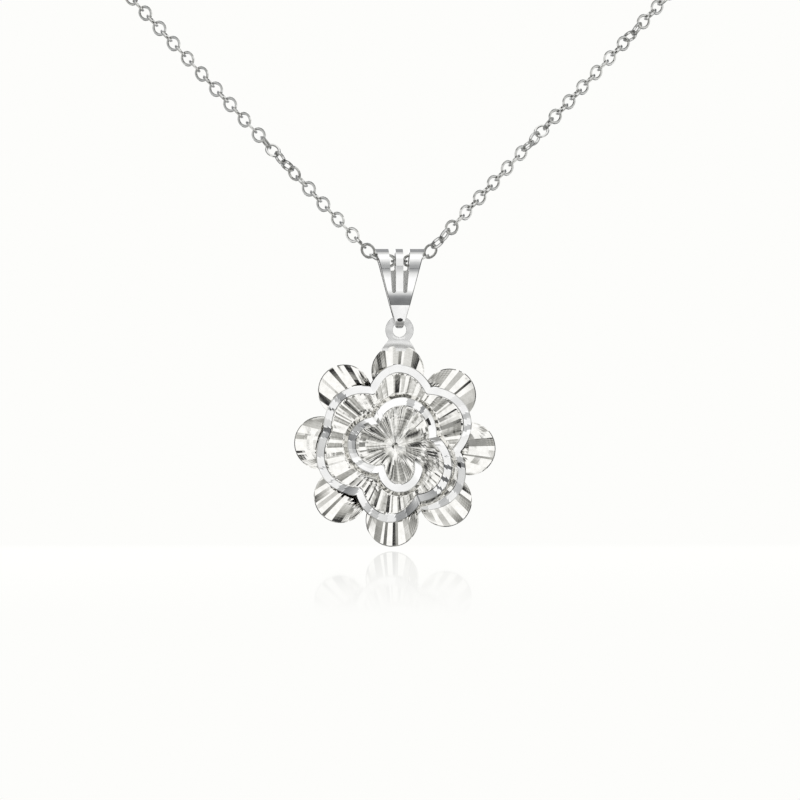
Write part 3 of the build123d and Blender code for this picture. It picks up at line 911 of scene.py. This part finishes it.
def rose():
    """The rose as one unrolled sheet: columns by turn along the spiral, rows from the floor's inner edge out
    to the ribbon. Each turn's ribbon edge is joined by a riser to the floor of the next turn, a zipped strip
    closes the step where the spiral starts, and a fan closes the hub. Also gives each cell's finish."""
    random = np.random.default_rng(11)
    step = 360 / columns_per_turn
    count = int(round(ribbon_rows[-1][0] / step)) + 1
    turn = np.arange(count) * step
    angle = np.radians(ribbon_start_angle - turn)
    middle = ribbon_radius(turn)
    slope = np.gradient(middle, np.radians(step)) / middle
    mitre = np.minimum(np.sqrt(1 + slope**2), mitre_limit)
    half = ribbon_width / 2 * mitre * np.sqrt(np.clip(turn / widening, inner_share, 1))
    half *= np.sqrt(np.clip((turn[-1] - turn) / narrowing, outer_share, 1))
    lip = ribbon_lip * np.clip(turn / lip_turn, 0, 1)
    inner = np.full(count, hub_radius)
    inner[columns_per_turn:] = (middle + half)[: count - columns_per_turn] + riser_run
    ribbon_in = np.maximum(middle - half, inner + least_width)
    ribbon_out = np.maximum(middle + half, ribbon_in + least_width)
    share = np.linspace(0, 1, floor_rows)
    radius = inner[:, None] + (ribbon_in - inner)[:, None] * share
    low, high, group = flute_cells(turn, random)
    r = (radius[1:] + radius[:-1]) / 2
    place = (turn[1:] + turn[:-1])[:, None] / 2
    dr = 0.05
    along = (rose_floor(r + dr, place) - rose_floor(r - dr, place)) / (2 * dr)
    tilts = low[:, None] * (1 - share) + high[:, None] * share
    tilts += random.uniform(-flute_ripple, flute_ripple, r.shape)
    relief = cut_heights(r * np.radians(step), tilts, along, 0 * r, group)
    padded = np.pad(relief, ((level_window, level_window), (0, 0)), "edge")
    total = np.r_[0 * padded[:1], np.cumsum(padded, axis=0)]
    span = 2 * level_window + 1
    relief -= (total[span:] - total[:-span]) / span
    floor = rose_floor(radius, turn[:, None]) + relief * np.interp(share, *flute_fade)
    top = rose_floor((ribbon_in + ribbon_out) / 2, turn) + lip
    starts, inner_tilt, outer_tilt = columns(ribbon_cuts)
    cut = np.searchsorted(starts, turn, side="right") - 1
    wide = (ribbon_out - ribbon_in) / 2
    drop, rise = (np.tan(np.radians(tilt[cut])) * wide for tilt in (inner_tilt, outer_tilt))
    across = np.array(ribbon_shares)
    ribbon = ribbon_in[:, None] + wide[:, None] * across
    ribbon_height = top[:, None] + drop[:, None] * np.minimum(across - 1, 0)
    ribbon_height += rise[:, None] * np.maximum(across - 1, 0)
    bevel = np.tan(np.radians(ribbon_bevel)) * wide
    ribbon_height[:, 0] -= bevel * (across[1] - across[0])
    ribbon_height[:, -1] -= bevel * (across[-1] - across[-2])
    rows = floor_rows + len(across)
    radius = np.r_[np.c_[radius, ribbon].ravel(), pit_aside]
    height = np.r_[np.c_[floor, ribbon_height].ravel(), rose_floor(hub_radius, 0.0) - pit_depth]
    front = flower_points(radius, np.r_[np.repeat(angle, rows), pit_angle], height)
    cells = grid_cells(rows, count)
    row_number = np.tile(np.arange(rows - 1), count - 1)
    seam = columns_per_turn - 1
    unseamed = np.repeat(np.arange(count - 1), rows - 1) != seam
    cells, row_number = cells[unseamed], row_number[unseamed]
    out = np.arange(1, count - columns_per_turn) * rows - 1
    foot = out + 1 + (columns_per_turn - 1) * rows
    risers = np.c_[out, out + rows, foot + rows, foot]
    left = seam * rows + np.arange(rows)
    right = np.r_[:rows, columns_per_turn * rows + np.arange(rows)]
    seam_cells = zipped(left, radius[left], right, np.maximum.accumulate(radius[right]))
    hub = np.arange(columns_per_turn) * rows
    fan = np.c_[np.full(columns_per_turn, len(front) - 1), np.roll(hub, -1), hub]
    groups = [cells, risers, seam_cells, fan]
    points, walls = walled(front, front + np.array([0, rose_wall, 0]), groups)
    finish = np.zeros(sum(len(c) for c in walls))
    finish[: len(cells)] = row_number >= floor_rows
    return points, walls, finish


def peg():
    """The peg's peened head behind the back plate: radii and depths turned round the flower's axis."""
    back = petal_level - petal_wall - seat_gap
    radius = np.array([0, peg_radius, peg_radius, *peg_head_radii, 0])
    height = back - np.array([-peg_stub, -peg_stub, 0, *peg_head_depths, peg_head_depths[-1]])
    angle = np.repeat(circle(peg_steps), len(radius))
    points = flower_points(np.tile(radius, peg_steps), angle, np.tile(height, peg_steps))
    first, cells = welded(points, grid_cells(len(radius), peg_steps, closed=True))
    return points[first], [c[:, ::-1] for c in cells]


bail_silvers = [polished_silver, fold_silver, painted_shade_silver]
piece("chain_links", chain_links(), [wire_silver], "necklace", "chain")
piece("clasp_ring", clasp(), [polished_silver], "necklace", "clasp", 60)
piece("bail_strip", bail_strip(), bail_silvers, "bail", "bail", 6)
piece("petal_plate", petals(), [cut_silver], "flower", "back_petals")
piece("eyelet", eyelet(), [satin_silver, painted_shade_silver], "flower", "back_petals", 40)
piece("ribbon_rose", rose(), [cut_silver, polished_silver], "flower", "rose")
piece("rose_peg", peg(), [satin_silver], "flower", "rose", 30)


# Studio: a pale glossy floor just under the flower, and a bright room with a few grey cards
floor_level = -117.62
floor_half = 3
pale = linear("#FDFDFB")

# Camera: the picture is 72 mm wide at the pendant
camera_left = np.radians(4.0)
camera_aim = (0.045, -142.0, -104.20)
camera_distance = 900.0
picture_width = 72.0
sensor_width = 36.0


def floor_board():
    """A pale board: even white, with a faint mirror that fades with distance in front of the flower."""
    material = bpy.data.materials.new("glossy_pale_board")
    tree = empty_tree(material)
    place = add(tree, "TexCoord").outputs["Object"]
    depth = add(tree, "SeparateXYZ", inputs={"Vector": place}).outputs["Y"]
    fade = mapped(tree, depth, (-0.42, -0.16), (0.0, 0.22))
    share = worked(tree, "MULTIPLY", fade, mapped(tree, depth, (-0.14, -0.11), (1.0, 0.0)))
    white = add(tree, "Emission", inputs={"Color": pale, "Strength": 1.0})
    mirror = add(tree, "BsdfGlossy", inputs={"Color": pale, "Roughness": 0.02})
    both = add(tree, "MixShader", inputs={"Fac": share, 1: white.outputs[0], 2: mirror.outputs[0]})
    add(tree, "OutputMaterial", inputs={"Surface": both.outputs[0]})
    mesh = bpy.data.meshes.new("floor")
    corners = np.array([(-1, -1), (1, -1), (1, 1), (-1, 1)]) * floor_half
    mesh.from_pydata([(x, y, floor_level * MM) for x, y in corners], [], [(0, 1, 2, 3)])
    mesh.materials.append(material)
    board = placed("floor", mesh)
    board.visible_glossy = False


# Light by angle from the way that a flat front face mirrors the lens, in degrees: grey lens side, white tent,
# dark card ring, white tent, grey room
light_rings = [
    (0, "#4A4B4C"), (3, "#676869"), (4.6, "#8C8D8E"), (5.8, "#B6B7B7"), (8, "#E4E4E3"), (11, "#FFFFFF"),
    (27, "#FFFFFF"), (31, "#D4D4D2"), (35, "#A9A9A6"), (38.5, "#80807D"), (41, "#2E2E2F"), (44.5, "#2A2A2B"),
    (48, "#7A7A78"), (52, "#B0B0AD"), (57, "#F4F4F2"), (61, "#FFFFFF"), (69, "#F2F2F0"), (75, "#C2C2BF"),
    (84, "#B4B4B2"), (92, "#C8C8C7"), (104, "#9A9B9C"), (125, "#9C9D9F"), (140, "#7E7F80"), (158, "#E8E8E8"),
    (180, "#FFFFFF"),
]
tent_strength = 1.2


def studio_light():
    """World light by direction: rings round the mirrored lens, with one white softbox straight overhead that
    breaks them, and soft uneven cards further out."""
    world = bpy.data.worlds.new("studio")
    bpy.context.scene.world = world
    tree = empty_tree(world)
    way = add(tree, "TexCoord").outputs["Generated"]

    def along(direction):
        settings = {"operation": "DOT_PRODUCT"}
        return add(tree, "VectorMath", settings, {0: way, 1: direction}).outputs["Value"]

    front = (np.sin(camera_left), -np.cos(camera_left), 0.0)
    right = (np.cos(camera_left), np.sin(camera_left), 0.0)
    part = worked(tree, "DIVIDE", worked(tree, "ARCCOSINE", along(front)), np.pi)
    rings = ramp(tree, part, [(angle / 180, colour) for angle, colour in light_rings])
    up = along((0.0, 0.0, 1.0))
    aside = worked(tree, "MULTIPLY", worked(tree, "ABSOLUTE", along(right)), 4.0)
    overhead = mapped(tree, worked(tree, "SUBTRACT", up, aside), (0.12, 0.22))
    softbox = worked(tree, "MULTIPLY", overhead, mapped(tree, part, (95 / 180, 66 / 180)))
    lit = mixed(tree, softbox, rings, linear("#FFFFFF"))
    down = worked(tree, "SUBTRACT", worked(tree, "MULTIPLY", up, -1.0), aside)
    lit = mixed(tree, mapped(tree, down, (0.27, 0.365)), lit, linear("#9A9A98"))
    patches = ((0.38, "#8F9294"), (0.46, "#FFFFFF"), (0.58, "#FFFFFF"), (0.66, "#A8AAAA"))
    cards = ramp(tree, noise(tree, way, 3.2, 1.0), patches)
    reach = ((0.25, "#000000"), (0.36, "#E0E0E0"), (0.78, "#E0E0E0"), (0.86, "#000000"))
    share = worked(tree, "MULTIPLY", ramp(tree, part, reach), worked(tree, "SUBTRACT", 1.0, softbox))
    colour = mixed(tree, share, lit, cards, "MULTIPLY")
    room = add(tree, "Background", inputs={"Color": colour, "Strength": tent_strength})
    sweep = add(tree, "Background", inputs={"Color": pale, "Strength": 1.0})
    seen = add(tree, "LightPath").outputs["Is Camera Ray"]
    both = add(tree, "MixShader", inputs={"Fac": seen, 1: room.outputs[0], 2: sweep.outputs[0]})
    add(tree, "OutputWorld", inputs={"Surface": both.outputs[0]})


def camera():
    """A long lens a little to the left, level with the middle of the picture."""
    data = bpy.data.cameras.new("camera")
    data.sensor_width = sensor_width
    data.lens = sensor_width * camera_distance / picture_width
    data.clip_start = 0.01
    data.clip_end = 20.0
    eye = placed("camera", data)
    back = np.array([-np.sin(camera_left), -np.cos(camera_left), 0])
    eye.location = (np.array(camera_aim) + camera_distance * back) * MM
    eye.rotation_euler = (np.pi / 2, 0, -camera_left)
    bpy.context.scene.camera = eye


floor_board()
studio_light()
camera()
bpy.context.scene.view_settings.view_transform = "Standard"

bpy.context.view_layer.update()
